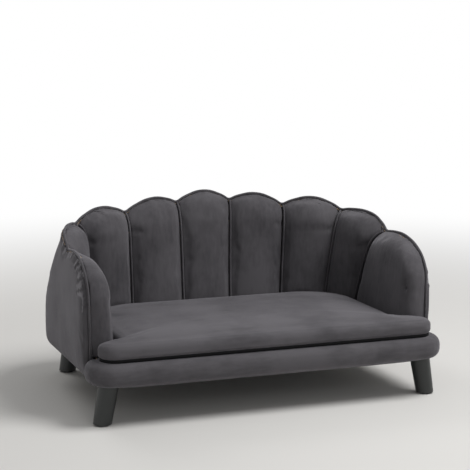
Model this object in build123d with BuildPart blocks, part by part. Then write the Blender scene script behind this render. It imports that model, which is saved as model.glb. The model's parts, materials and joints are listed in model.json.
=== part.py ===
from build123d import *
from math import cos, pi, radians, sin, sqrt, tan
import os

# Pet sofa. Millimetres, +Z up, front towards -Y.
# The origin is on the floor, below the middle of the overall box.

# Driving dimensions of the whole sofa
overall_width = 944
overall_depth = 668
overall_height = 492
base_bottom = 98
half_width = overall_width / 2
half_depth = overall_depth / 2

# Clearances between pieces, and how far cuts run past what they cut
flat_gap = 0.3
soft_gap = 0.6
bore_gap = 0.15
overrun = 40

# Shell board: bent sheet round the back and both arms, at seat and at rim level
side_bulge = 35
back_bulge = 30
board_thickness = 9
board_half_width = half_width - side_bulge
board_back = half_depth - back_bulge
board_radius = 112
front_platform = 104
board_front = half_depth - front_platform
rim_fall = 50
rim_level = overall_height - rim_fall
rim_spread = 5
rim_lean = 65
rim_radius = 141
rim_bow = 95
rim_piping_radius = 3

# Base: timber frame, deck, dust cover and padded nose
base_height = 60
nose_thickness = 30
nose_half_width = half_width
nose_corner_radius = 64
nose_fillet = 25
nose_clearance = 15
nose_end = board_front + nose_clearance
frame_front = half_depth - nose_thickness
frame_lift = 2
rail_height = 46
rail_thickness = 18
deck_thickness = 9
deck_front_radius = 36
dust_thickness = 1.2
block_length = 62
block_width = 54
block_chamfer = 34
slat_width = 45
slat_height = 18
slat_spacing_share = 0.535

# Deck screws
screw_radius = 1.8
screw_length = 28
screw_head_radius = 3.8
screw_head_height = 2.4
cross_screw_shares = (-0.744, -0.248, 0.248, 0.744)
side_screw_shares = (0.12, 0.5, 0.88)

# Legs and their fixings
leg_top_radius = 26
leg_foot_radius = 23
leg_edge = 1.5
leg_splay = 17
front_leg_inset = 28
rear_leg_inset = 34
rear_leg_side_inset = 52
glide_radius = 17
glide_height = 3
bolt_radius = 4
bolt_in_leg = 32
bolt_in_block = 34
nut_radius = 5.5
nut_length = 16
nut_flange_radius = 10
nut_flange_thickness = 1.6

# Petals: the line of their seams, their padding and their rounded tops
seat_padding = 45
back_padding = 104
seam_half_width = board_half_width - seat_padding
seam_back = board_back - back_padding
seam_radius = 100
seam_bow = 20
seam_depth_at_rim = 22
pad_thickness = 26
crown = 16
edge_roll = 56
top_roll = 70
arm_reach = 16
arm_front = board_front + arm_reach
arm_nose = 15
arm_top_back = 85

# Foam lining behind the petals
lining_top_share = 0.586
lining_front_room = 72

# Outer cover over wadding
cover_reach = 3
cover_front = board_front + cover_reach
cover_space = 6
cover_rim_drop = 5
rim_reach = 190
cover_slope_share = 0.85

# Shell bolts and washers
shell_bolt_radius = 3
shell_bolt_grip = 15
shell_head_radius = 6
shell_head_height = 3
washer_radius = 9
washer_thickness = 1.2
side_bolt_count = 4
side_bolt_room = 40
rear_bolt_room = 85

# Piping in the grooves between petals
channel_piping_radius = 2.6

# Seat cushion, T-shaped, with two lobes in front of the arms
cushion_front_inset = 16
cushion_lobe_inset = 30
cushion_side_room = 6
cushion_back_room = 14
cushion_lobe_room = 8
cushion_front = half_depth - cushion_front_inset
cushion_lobe_half_width = nose_half_width - cushion_lobe_inset
cushion_half_width = seam_half_width - crown - cushion_side_room
cushion_back = seam_back - crown - cushion_back_room
cushion_lobe_back = arm_front + cushion_lobe_room
cushion_front_radius = 42
cushion_lobe_radius = 20
cushion_neck_radius = 14
cushion_back_radius = 140
cushion_band_height = 8
cushion_band_inset = 3
cushion_height = 50
cushion_tuck = 12
cushion_skin = 2.5

# Zip in the back of the cushion cover, with its slider and pull
zip_end_room = 10
zip_length = 2 * (cushion_half_width - cushion_back_radius - zip_end_room)
zip_height = 11
zip_thickness = 1.4
slider_length = 12
slider_height = 7
slider_thickness = 2.4
pull_length = 20
pull_height = 5
pull_thickness = 1
pull_pin_radius = 1.1
pull_head_radius = 1.8

# Places of the four seams on each side, at seat level and at the notch. A place runs
# from 0 to 1 along the straight back, to 2 round the corner, to 3 along the arm.
seam_seat_shares = (0.235, 0.745, 1.33, 1.985)
seam_notch_shares = (0.258, 0.765, 1.387, 2.1)
# Heights of the rim at the middle of each petal and at each notch, as shares of its peak
petal_top_shares = (1.0, 0.972, 0.944, 0.874, 0.806)
notch_shares = (0.941, 0.902, 0.874, 0.793)
arm_start_share = 0.608
crown_shares = (1.0, 1.05, 1.4, 1.35, 1.0)
body_level_shares = (0, 0.55, 1)
roll_level_shares = (1, 0.55, 0.2)
petal_level_shares = (0.3, 0.7, 0.95)
arm_level_shares = (0, 0.35, 0.65, 0.85, 0.96)
seam_flare_share = 0.032
rim_flare_share = 0.006
seam_side_share = 0.012
edge_floor_share = 0.16
top_floor_share = 0.22
# Outer face of the cover from the base's bottom to the top: height, half width behind, how much
# that grows forwards, depth, corner and bow
cover_level_shares = (0.0, 0.092, 0.316, 0.577, 0.876, 1.0)
cover_width_shares = (0.965, 0.966, 0.966, 0.965, 0.965, 0.965)
cover_flare_shares = (0.004, 0.014, 0.024, 0.022, 0.01, 0.006)
cover_back_shares = (0.966, 0.984, 0.9955, 0.912, 0.782, 0.738)
cover_corner_shares = (0.275, 0.3, 0.31, 0.325, 0.335, 0.325)
cover_bow_shares = (0.012, 0.018, 0.042, 0.138, 0.284, 0.323)
# Sections of the seat cushion from the bottom up: height, tuck of its edge, and size
cushion_level_shares = (0.0, 0.17, 0.53, 0.68, 0.78, 0.85, 0.92, 0.97, 1.0)
cushion_tuck_shares = (0.45, 0.0, 0.0, 0.3, 1.0, 1.0, 1.0, 1.0, 1.0)
cushion_size_shares = (1.0, 1.0, 1.0, 1.0, 1.0, 0.93, 0.79, 0.55, 0.25)
zip_level_share = 0.35

base_top = base_bottom + base_height
seat_level = base_top + frame_lift
lining_top = seat_level + (rim_level - seat_level) * lining_top_share
frame_bottom = base_bottom + frame_lift
frame_top = frame_bottom + rail_height
deck_top = frame_top + deck_thickness
rim_half_width = board_half_width + rim_spread
rim_peak = overall_height - 2 * rim_piping_radius - soft_gap
notch_heights = [rim_peak * share for share in notch_shares]
petal_heights = [rim_peak * share for share in petal_top_shares]
arm_start = rim_peak * arm_start_share
arm_top = petal_heights[-1]
sides = (-1, 1)
side_names = {-1: "left", 1: "right"}


def mix(a, b, t):
    """The value at a share t of the way from a to b."""
    return a + (b - a) * t


def plan(half, back, radius, bow, flare, front):
    """A half plan of the wall: straight back, rounded corner, straight arm."""
    return {"half": half, "back": back, "radius": radius, "bow": bow, "flare": flare, "front": front}


def grown(base, amount):
    """The same plan, moved outwards by an amount."""
    moved = {"half": base["half"] + amount, "back": base["back"] + amount, "radius": base["radius"] + amount}
    return {**base, **moved}


def plan_point(base, place):
    """The point of a plan at a place from 0, the middle of the back, to 3, the front."""
    flat = base["half"] - base["radius"]
    if place <= 1:
        x, y = flat * place, base["back"]
    elif place <= 2:
        turn = (place - 1) * pi / 2
        x = flat + base["radius"] * sin(turn)
        y = base["back"] - base["radius"] * (1 - cos(turn))
    else:
        x = base["half"]
        y = mix(base["back"] - base["radius"], -base["front"], place - 2)
    wide = x / base["half"]
    return x + base["flare"] * (base["back"] - y) * wide, y - base["bow"] * wide**2


def level_share(z):
    """How far a height lies from seat level towards rim level."""
    return max(0, (z - seat_level) / (rim_level - seat_level))


def on_wall(face, side, place, z):
    """A point on a face, given as plans at seat and rim level, and above that leaning as the board does.
    A place below zero lies past the middle."""
    t = level_share(z)
    low_x, low_y = plan_point(face[0], abs(place))
    high_x, high_y = plan_point(face[1], abs(place))
    x = mix(low_x, high_x, min(t, 1))
    y = mix(low_y, high_y, min(t, 1))
    if t > 1:
        low_x, low_y = plan_point(board_in[0], abs(place))
        high_x, high_y = plan_point(board_in[1], abs(place))
        x += (t - 1) * (high_x - low_x)
        y += (t - 1) * (high_y - low_y)
    return Vector(side * x if place > 0 else -side * x, y, z)


def moved_face(face, amount):
    """A face moved outwards by an amount."""
    return grown(face[0], amount), grown(face[1], amount)


def with_front(face, front):
    """A face whose arms end at another distance in front of the middle."""
    return {**face[0], "front": front}, {**face[1], "front": front}


board_in = (
    plan(board_half_width, board_back, board_radius, 0, 0, board_front),
    plan(rim_half_width, board_back - rim_lean, rim_radius, rim_bow, rim_flare_share, board_front),
)
board_out = moved_face(board_in, board_thickness)
seam_face = (
    plan(seam_half_width, seam_back, seam_radius, seam_bow, seam_flare_share, board_front),
    grown(board_in[1], -seam_depth_at_rim),
)
pad_face = (grown(seam_face[0], pad_thickness), grown(board_in[1], -2 * soft_gap))


def outline_marks(face, z):
    """The points of a half plan at one height: middle, corner start, middle and end, front."""
    places = (0, 1, 1.5, 2, 3)
    return [on_wall(face, 1, place, z) for place in places]


def half_u(row, z):
    """Draws the open line of a wall face round both arms and the back."""
    points = [(point.X, point.Y) for point in row]
    for side in sides:
        front, end, bend, start = [(side * x, y) for x, y in reversed(points[1:])]
        Line(front, end)
        ThreePointArc(end, bend, start)
    start = points[1]
    if points[0][1] > start[1]:
        ThreePointArc((-start[0], start[1]), points[0], start)
    else:
        Line((-start[0], start[1]), start)


def closed_u(face, z):
    """Draws a wall face closed by a straight line across the front."""
    row = outline_marks(face, z)
    half_u(row, z)
    Line((-row[-1].X, row[-1].Y), (row[-1].X, row[-1].Y))


def u_wall(inner, outer, z):
    """Draws the closed outline of a wall between two faces."""
    rows = [outline_marks(face, z) for face in (inner, outer)]
    for row in rows:
        half_u(row, z)
    for side in sides:
        Line(*[(side * row[-1].X, row[-1].Y) for row in rows])


def arch_numbers(k):
    """Start height, end height and rise of the rim over petal k, going away from the middle."""
    start = notch_heights[k - 1] if k > 0 else notch_heights[0]
    end = notch_heights[k]
    return start, end, petal_heights[k] - (start + end) / 2


def arch_height(k, u):
    """Height of the rim of petal k at a share u of its width."""
    start, end, rise = arch_numbers(k)
    return mix(start, end, u) + 4 * rise * u * (1 - u)


def arch_reach(k, z):
    """The two shares of petal k's width between which its rim is above a height."""
    start, end, rise = arch_numbers(k)
    slope = end - start + 4 * rise
    root = sqrt(max(0, slope**2 - 16 * rise * (z - start)))
    return max(0, (slope - root) / (8 * rise)), min(1, (slope + root) / (8 * rise))


def arch_peak(k):
    """The greatest height of petal k's rim."""
    start, end, rise = arch_numbers(k)
    return start + (end - start + 4 * rise) ** 2 / (16 * rise)


def seam_place(i, z):
    """The place of seam i at a height. It runs nearly upright and sweeps towards the notch at the top."""
    rise = min(1, max(0, (z - seat_level) / (notch_heights[i] - seat_level)))
    return mix(seam_seat_shares[i], seam_notch_shares[i], 1 - sqrt(1 - rise**3))


def petal_place(k, u, z):
    """The place for a share u of the width of petal k at a height."""
    return mix(seam_place(k - 1, z) if k > 0 else -seam_place(0, z), seam_place(k, z), u)


def roll_share(z, top, roll, floor):
    """How much of its depth a pad keeps at a height, where its top is rolled back over the rim."""
    if z <= top - roll:
        return 1
    return sqrt(max(floor**2, 1 - min(1, (z - top + roll) / roll) ** 2))


rim_amounts = (-seam_depth_at_rim - overrun, board_thickness + rim_reach)
arm_notch = on_wall(pad_face, 1, seam_notch_shares[-1], notch_heights[-1]).Y


def arch_lines(places, heights, rise):
    """Draws the outline below one arch of the rim, down to the floor."""
    control = (sum(places) / 2, sum(heights) / 2 + 2 * rise)
    Bezier((places[0], heights[0]), control, (places[1], heights[1]))
    Polyline((places[0], heights[0]), (places[0], 0), (places[1], 0), (places[1], heights[1]))


def arm_lines(notch, front, drop):
    """Draws the outline below the rim of an arm: a low arch, then a quarter ellipse down the front."""
    top = arm_top - drop
    start = notch_heights[-1] - drop
    turn = arm_start - drop
    Bezier((notch, start), (mix(notch, -arm_top_back, 0.5), top), (-arm_top_back, top))
    EllipticalCenterArc((-arm_top_back, turn), front - arm_top_back, top - turn, start_angle=90, arc_size=90)
    Polyline((-front, turn), (-front, 0), (notch, 0), (notch, start))


def arch_frame(k, side):
    """Two upright planes, inside and outside the wall, that hold the arch of petal k's rim.
    Gives their middles, the way they face, the way across and the arch's ends on each."""
    lines = []
    for u, z in zip((0, 1), arch_numbers(k)):
        seam, pad = [on_wall(face, side, petal_place(k, u, z), z) for face in (seam_face, pad_face)]
        spot = Vector(pad.X, pad.Y, 0)
        way = (pad - seam).normalized()
        lines.append([spot + way * amount for amount in rim_amounts])
    middles = [(lines[0][i] + lines[1][i]) / 2 for i in (0, 1)]
    facing = (middles[1] - middles[0]).normalized()
    across = Vector(0, 0, 1).cross(facing)
    ends = []
    for middle in middles:
        shares = [(middle - line[0]).dot(facing) / (line[1] - line[0]).dot(facing) for line in lines]
        ends.append([(mix(*line, share) - middle).dot(across) for line, share in zip(lines, shares)])
    return middles, facing, across, ends


def rim_template(front, slope, sink):
    """All below the scalloped rim, sunk a little. It falls outwards from the board at a slope."""
    drops = [sink + slope * (amount - board_thickness) for amount in rim_amounts]
    with BuildPart() as template:
        for k in range(4):
            start, end, rise = arch_numbers(k)
            for side in sides if k > 0 else sides[1:]:
                middles, facing, across, ends = arch_frame(k, side)
                for middle, drop, places in zip(middles, drops, ends):
                    with BuildSketch(Plane(origin=middle, x_dir=across, z_dir=facing)):
                        with BuildLine():
                            arch_lines(places, (start - drop, end - drop), rise)
                        make_face()
                loft(ruled=True)
        for side in sides:
            for amount, drop in zip(rim_amounts, drops):
                out = plan_point(grown(board_in[1], amount), seam_notch_shares[-1])[0]
                with BuildSketch(Plane(origin=(side * out, 0, 0), x_dir=(0, 1, 0), z_dir=(1, 0, 0))):
                    with BuildLine():
                        arm_lines(arm_notch, front, drop)
                    make_face()
            loft(ruled=True)
    return template.part


def save(part, name):
    """Writes a finished piece under its name."""
    part.label = name
    export_step(part, f"parts/{name}.step")


def frame_plate(inset, front_radius):
    """Draws the plan of a plate that fills the frame, less an inset all round."""
    front = -frame_front + inset
    back = board_back - inset
    with Locations((0, (front + back) / 2)):
        Rectangle(2 * (board_half_width - inset), back - front)
    fillet(vertices().group_by(Axis.Y)[-1], radius=board_radius - inset)
    fillet(vertices().group_by(Axis.Y)[0], radius=front_radius)


front_legs = [(side * (board_half_width - frame_lift), -frame_front + front_leg_inset) for side in sides]
rear_legs = [(side * (board_half_width - rear_leg_side_inset), board_back - rear_leg_inset) for side in sides]
leg_feet = front_legs + rear_legs
leg_heads = [(x - leg_splay if x > 0 else x + leg_splay, y) for x, y in leg_feet]
os.makedirs("parts", exist_ok=True)

# Bolt places on the flat stretches of the board, along the back and the arms
bolt_height = frame_bottom + rail_height / 2
rear_bolt_reach = board_half_width - board_radius - rear_bolt_room
rear_bolt_xs = [rear_bolt_reach * share for share in (-1, -1 / 3, 1 / 3, 1)]
side_bolt_ends = (side_bolt_room - board_front, board_back - board_radius - side_bolt_room)
side_bolt_ys = [mix(*side_bolt_ends, i / (side_bolt_count - 1)) for i in range(side_bolt_count)]
rear_axes = [Plane(origin=(x, board_back, bolt_height), z_dir=(0, 1, 0)) for x in rear_bolt_xs]
side_axes = [
    Plane(origin=(side * board_half_width, y, bolt_height), z_dir=(side, 0, 0))
    for side in sides
    for y in side_bolt_ys
]
bolt_axes = rear_axes + side_axes
low = (Align.CENTER, Align.CENTER, Align.MIN)
high = (Align.CENTER, Align.CENTER, Align.MAX)

# Places of the deck screws over the rails
front_screw_y = -frame_front + rail_thickness / 2
rear_screw_y = board_back - rail_thickness / 2
side_screw_x = board_half_width - rail_thickness / 2
side_rail_ends = (block_length - frame_front, board_back - board_radius)
front_rail_half = board_half_width - block_width
rear_rail_half = board_half_width - board_radius
front_screws = [(front_rail_half * share, front_screw_y) for share in cross_screw_shares]
rear_screws = [(rear_rail_half * share, rear_screw_y) for share in cross_screw_shares]
side_screw_ys = [mix(*side_rail_ends, share) for share in side_screw_shares]
side_screws = [(side * side_screw_x, y) for side in sides for y in side_screw_ys]
deck_screw_places = front_screws + rear_screws + side_screws

# Front rail, between the two front corner blocks
with BuildPart() as front_rail:
    with Locations((0, front_screw_y, frame_bottom)):
        Box(2 * front_rail_half, rail_thickness, rail_height, align=low)
    with Locations(*[(x, y, frame_top) for x, y in front_screws]):
        Cylinder(screw_radius + bore_gap, screw_length, align=high, mode=Mode.SUBTRACT)
save(front_rail.part, "front_rail")

# Rear rail, between the two rear corner blocks
with BuildPart() as rear_rail:
    with Locations((0, rear_screw_y, frame_bottom)):
        Box(2 * rear_rail_half, rail_thickness, rail_height, align=low)
    with Locations(*[(x, y, frame_top) for x, y in rear_screws]):
        Cylinder(screw_radius + bore_gap, screw_length, align=high, mode=Mode.SUBTRACT)
    with Locations(*rear_axes):
        Cylinder(shell_bolt_radius + bore_gap, 2 * rail_thickness, mode=Mode.SUBTRACT)
save(rear_rail.part, "rear_rail")

# Side rails, from the front blocks to the rear blocks
for side in sides:
    with BuildPart() as side_rail:
        with Locations((side * side_screw_x, sum(side_rail_ends) / 2, frame_bottom)):
            Box(rail_thickness, side_rail_ends[1] - side_rail_ends[0], rail_height, align=low)
        with Locations(*[(x, y, frame_top) for x, y in side_screws]):
            Cylinder(screw_radius + bore_gap, screw_length, align=high, mode=Mode.SUBTRACT)
        with Locations(*side_axes):
            Cylinder(shell_bolt_radius + bore_gap, 2 * rail_thickness, mode=Mode.SUBTRACT)
    save(side_rail.part, f"side_rail_{side_names[side]}")

# Cross slats under the deck
slat_front = -frame_front + rail_thickness
slat_back = board_back - rail_thickness
with BuildPart() as cross_slats:
    slat_xs = [front_rail_half * slat_spacing_share * i for i in (-1, 0, 1)]
    with Locations(*[(x, (slat_front + slat_back) / 2, frame_top) for x in slat_xs]):
        Box(slat_width, slat_back - slat_front, slat_height, align=high)
save(cross_slats.part, "cross_slats")

# Corner blocks: square in front, quarter discs behind, each with a threaded nut for a leg
for names, heads in (("front", leg_heads[:2]), ("rear", leg_heads[2:])):
    for side, head in zip(sides, heads):
        with BuildPart() as corner_block:
            if names == "front":
                block_x = side * (board_half_width - block_width / 2)
                with Locations((block_x, -frame_front + block_length / 2, frame_bottom)):
                    Box(block_width, block_length, rail_height, align=low)
                outer_edge = corner_block.edges().filter_by(Axis.Z).group_by(Axis.Y)[0].sort_by(Axis.X)
                chamfer(outer_edge[-1 if side > 0 else 0], block_chamfer)
            else:
                with BuildSketch(Plane.XY.offset(frame_bottom)):
                    middle = (side * (board_half_width - board_radius), board_back - board_radius)
                    with BuildLine():
                        radius = board_radius - flat_gap
                        start = (middle[0] + side * radius, middle[1])
                        end = (middle[0], middle[1] + radius)
                        RadiusArc(start, end, -side * radius)
                        Polyline(start, middle, end)
                    make_face()
                extrude(amount=rail_height)
            with Locations((*head, frame_top)):
                Cylinder(bolt_radius + bore_gap, rail_height, align=high, mode=Mode.SUBTRACT)
                Cylinder(nut_radius + bore_gap, nut_length, align=high, mode=Mode.SUBTRACT)
                Cylinder(nut_flange_radius + bore_gap, nut_flange_thickness, align=high, mode=Mode.SUBTRACT)
        save(corner_block.part, f"corner_block_{names}_{side_names[side]}")

# Threaded nuts sunk in the corner blocks
with BuildPart() as leg_nuts:
    with Locations(*[(x, y, frame_top) for x, y in leg_heads]):
        Cylinder(nut_radius, nut_length, align=high)
        Cylinder(nut_flange_radius, nut_flange_thickness, align=high)
        Cylinder(bolt_radius + bore_gap, nut_length, align=high, mode=Mode.SUBTRACT)
save(leg_nuts.part, "leg_nuts")

# Hanger bolts that join the legs to the nuts
with BuildPart() as hanger_bolts:
    with Locations(*[(x, y, frame_bottom - bolt_in_leg) for x, y in leg_heads]):
        Cylinder(bolt_radius, bolt_in_leg + bolt_in_block, align=low)
    chamfer(hanger_bolts.edges().filter_by(GeomType.CIRCLE), bolt_radius / 5)
save(hanger_bolts.part, "hanger_bolts")

# Turned legs, splayed outwards, with a flat head and foot
leg_names = ("leg_front_left", "leg_front_right", "leg_rear_left", "leg_rear_right")
for name, foot, head in zip(leg_names, leg_feet, leg_heads):
    with BuildPart() as leg:
        with BuildSketch(Plane.XY.offset(glide_height)):
            with Locations(foot):
                Circle(leg_foot_radius)
        with BuildSketch(Plane.XY.offset(frame_bottom)):
            with Locations(head):
                Circle(leg_top_radius)
        loft()
        fillet(leg.edges().sort_by(Axis.Z)[0], leg_edge)
        with Locations((*head, frame_bottom)):
            Cylinder(bolt_radius + bore_gap, bolt_in_leg + bore_gap, align=high, mode=Mode.SUBTRACT)
    save(leg.part, name)

# Glides nailed under the feet
with BuildPart() as leg_glides:
    with Locations(*[(x, y, 0) for x, y in leg_feet]):
        Cylinder(glide_radius, glide_height, align=low)
    fillet(leg_glides.edges().group_by(Axis.Z)[0], glide_height / 3)
save(leg_glides.part, "leg_glides")

# Deck: a sheet screwed on the frame
with BuildPart() as deck:
    with BuildSketch(Plane.XY.offset(frame_top)):
        frame_plate(flat_gap, deck_front_radius)
    extrude(amount=deck_thickness)
    with Locations(*[(x, y, deck_top) for x, y in deck_screw_places]):
        CounterSinkHole(screw_radius + bore_gap, screw_head_radius + bore_gap)
save(deck.part, "deck")

# Screws that hold the deck to the rails
with BuildPart() as deck_screws:
    with Locations(*[(x, y, deck_top) for x, y in deck_screw_places]):
        Cylinder(screw_radius, screw_length, align=high)
        Cone(screw_radius, screw_head_radius, screw_head_height, align=high)
save(deck_screws.part, "deck_screws")

# Dust cover stapled under the frame
with BuildPart() as dust_cover:
    with BuildSketch(Plane.XY.offset(frame_bottom - dust_thickness)):
        frame_plate(soft_gap, deck_front_radius)
    extrude(amount=dust_thickness)
    with Locations(*[(x, y, frame_bottom) for x, y in leg_heads]):
        Cylinder(leg_top_radius + soft_gap, 2 * dust_thickness, mode=Mode.SUBTRACT)
save(dust_cover.part, "dust_cover")

# Base cover: padded nose round the front and velvet over the deck
with BuildPart() as base_cover:
    nose_length = half_depth - nose_end
    with BuildSketch(Plane.XY.offset(base_bottom)):
        with Locations((0, -half_depth + nose_length / 2)):
            Rectangle(2 * nose_half_width, nose_length)
        fillet(vertices().group_by(Axis.Y)[0], radius=nose_corner_radius)
    extrude(amount=base_height)
    loops = base_cover.edges().group_by(Axis.Z)
    fillet(loops[0].sort_by(Axis.Y)[:-1] + loops[-1].sort_by(Axis.Y)[:-1], nose_fillet)
    with BuildSketch(Plane.XY.offset(deck_top + flat_gap)):
        frame_plate(soft_gap, deck_front_radius)
    extrude(amount=base_top - deck_top - flat_gap)
    with BuildSketch(Plane.XY.offset(deck_top + flat_gap)):
        frame_plate(-flat_gap, deck_front_radius)
    extrude(amount=-base_height, mode=Mode.SUBTRACT)
    with Locations(*[(*head, frame_bottom) for head in leg_heads]):
        Cylinder(leg_top_radius + soft_gap, 2 * frame_lift, mode=Mode.SUBTRACT)
save(base_cover.part, "base_cover")

# Shell board: a curved sheet bolted round the frame, with the scalloped rim
board_template = rim_template(board_front, 0, 0)
with BuildPart() as shell_board:
    for low_z, high_z in ((frame_bottom, seat_level), (seat_level, overall_height)):
        for z in (low_z, high_z):
            with BuildSketch(Plane.XY.offset(z)):
                with BuildLine():
                    u_wall(board_in, board_out, z)
                make_face()
        loft(ruled=True)
    add(board_template, mode=Mode.INTERSECT)
    with Locations(*bolt_axes):
        Cylinder(shell_bolt_radius + bore_gap, 3 * board_thickness, mode=Mode.SUBTRACT)
save(shell_board.part, "shell_board")

# Outer cover: velvet over wadding, bulging outwards and drawn in under the base
cover_plans = []
cover_sizes = (cover_width_shares, cover_back_shares, cover_corner_shares, cover_bow_shares)
for level, width, back, corner, bow, flare in zip(cover_level_shares, *cover_sizes, cover_flare_shares):
    bulge = half_width * width, half_depth * back, half_width * corner, half_depth * bow
    shape = plan(*bulge, flare, cover_front)
    cover_plans.append((mix(base_bottom, overall_height, level), shape))
cover_in = (grown(board_out[0], cover_space), grown(board_out[1], soft_gap))
cover_in = with_front(cover_in, cover_front + overrun)
cover_template = rim_template(cover_front, cover_slope_share, cover_rim_drop)
with BuildPart() as outer_cover:
    for z, shape in cover_plans:
        with BuildSketch(Plane.XY.offset(z)):
            with BuildLine():
                closed_u((shape, shape), z)
            make_face()
    loft()
    for low_z, high_z in ((base_bottom, seat_level), (seat_level, overall_height)):
        for z in (low_z, high_z):
            with BuildSketch(Plane.XY.offset(z)):
                with BuildLine():
                    closed_u(cover_in, z)
                make_face()
        loft(ruled=True, mode=Mode.SUBTRACT)
    add(cover_template, mode=Mode.INTERSECT)
save(outer_cover.part, "outer_cover")


def petal_rows(k, side, z):
    """The back, seam and crown points of petal k's section at a height."""
    first, last = arch_reach(k, z)
    edges = (max(first, seam_side_share), min(last, 1 - seam_side_share))
    notches = arch_numbers(k)[:2]
    crown_face = moved_face(seam_face, -crown * crown_shares[k])
    backs = [on_wall(pad_face, side, petal_place(k, mix(*edges, t), z), z) for t in (0, 0.25, 0.5, 0.75, 1)]
    corners = []
    for u, back, notch in zip(edges, (backs[0], backs[-1]), notches):
        keep = roll_share(z, notch, edge_roll, edge_floor_share)
        corners.append(mix(back, on_wall(seam_face, side, petal_place(k, u, z), z), keep))
    top_keep = roll_share(z, arch_peak(k), top_roll, top_floor_share)
    peak = mix(backs[2], on_wall(crown_face, side, petal_place(k, mix(*edges, 0.5), z), z), top_keep)
    return backs, corners, peak


def flat_point(point):
    return point.X, point.Y


def draw_petal(k, side, z):
    """Draws the section of petal k at a height: curved back, two sides and a crowned face."""
    backs, corners, peak = petal_rows(k, side, z)
    back_points = [flat_point(point) for point in backs]
    first, last = [flat_point(point) for point in corners]
    ThreePointArc(*back_points[:3])
    ThreePointArc(*back_points[2:])
    Line(back_points[4], last)
    ThreePointArc(last, flat_point(peak), first)
    Line(first, back_points[0])


# Petals of the back: upright pads with a crowned face and an arched top
petal_names = ("petal_centre", "petal_back_inner", "petal_back_outer", "petal_corner")
for k, petal_name in enumerate(petal_names):
    for side in sides if k > 0 else sides[1:]:
        notch = min(arch_numbers(k)[:2])
        body_levels = [mix(base_top + flat_gap, notch - edge_roll, share) for share in body_level_shares]
        top_levels = [notch - edge_roll * share for share in roll_level_shares]
        top_levels += [mix(notch, arch_peak(k), share) for share in petal_level_shares]
        with BuildPart() as petal:
            for levels, straight in ((body_levels, True), (top_levels, False)):
                for z in levels:
                    with BuildSketch(Plane.XY.offset(z)):
                        with BuildLine():
                            draw_petal(k, side, z)
                        make_face()
                loft(ruled=straight)
        save(petal.part, f"{petal_name}_{side_names[side]}" if k > 0 else petal_name)


def arm_x(face, z, y):
    """How far out an arm's face lies at a height and a distance along the arm."""
    start = on_wall(face, 1, 2, z)
    end = on_wall(face, 1, 3, z)
    return on_wall(face, 1, 2 + (y - start.Y) / (end.Y - start.Y), z).X


def draw_arm(side, z):
    """Draws the section of an arm petal at a height, with its nose round the arm's front."""
    notch_z = notch_heights[-1]
    fall = sqrt(1 - max(0, (z - arm_start) / (arm_top - arm_start)) ** 2)
    front = mix(-arm_top_back, -arm_front, fall)
    nose = arm_nose * fall
    keep = roll_share(z, arm_top, top_roll, top_floor_share)
    edge_keep = roll_share(z, notch_z, edge_roll, edge_floor_share)
    place = seam_place(3, z) + seam_side_share
    if z > notch_z:
        back_y = mix(arm_notch, -arm_top_back, 1 - sqrt((arm_top - z) / (arm_top - notch_z)))
        back = Vector(side * arm_x(pad_face, z, back_y), back_y, z)
        corner = Vector(side * arm_x(seam_face, z, back_y), back_y, z)
    else:
        back = on_wall(pad_face, side, place, z)
        corner = on_wall(seam_face, side, place, z)
    corner = mix(back, corner, edge_keep)
    crown_face = moved_face(seam_face, -crown)
    middle = (corner.Y + front) / 2
    pads = [arm_x(pad_face, z, y) for y in (middle, front)]
    crowns = [mix(pad, arm_x(crown_face, z, y), keep) for pad, y in zip(pads, (middle, front))]
    outer = arm_x(board_out, z, front) - 3 * soft_gap
    inner = crowns[1] + crown * keep / 3
    bend = (side * mix(inner, outer, 0.45), front)
    front_pad = (side * pads[1], front + nose)
    Line(flat_point(back), front_pad)
    Line(front_pad, (side * outer, front + nose))
    ThreePointArc((side * outer, front + nose), bend, (side * inner, front + nose))
    ThreePointArc((side * inner, front + nose), (side * crowns[0], middle), flat_point(corner))
    Line(flat_point(corner), flat_point(back))


# Petals of the arms: each wraps round the front of its arm
for side in sides:
    body_levels = (base_top + flat_gap, arm_start)
    top_levels = [mix(arm_start, arm_top, share) for share in arm_level_shares]
    with BuildPart() as petal:
        for levels, straight in ((body_levels, True), (top_levels, False)):
            for z in levels:
                with BuildSketch(Plane.XY.offset(z)):
                    with BuildLine():
                        draw_arm(side, z)
                    make_face()
            loft(ruled=straight)
    save(petal.part, f"petal_arm_{side_names[side]}")

# Foam lining between the board and the petals
with BuildPart() as shell_lining:
    lining_in = with_front(moved_face(pad_face, 2 * soft_gap), board_front - lining_front_room)
    lining_out = with_front(moved_face(board_in, -soft_gap), board_front - lining_front_room)
    for z in (base_top + flat_gap, lining_top):
        with BuildSketch(Plane.XY.offset(z)):
            with BuildLine():
                u_wall(lining_in, lining_out, z)
            make_face()
    loft(ruled=True)
save(shell_lining.part, "shell_lining")


def bead_path(points):
    """Draws a bead's path: straight runs with the largest tangent arcs that they allow."""
    radii = []
    for before, here, after in zip(points, points[1:], points[2:]):
        runs = (here - before, after - here)
        turn = radians(runs[0].get_angle(runs[1]))
        radii.append(0.45 * min(run.length for run in runs) / tan(turn / 2))
    return FilletPolyline(*points, radius=radii)


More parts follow.
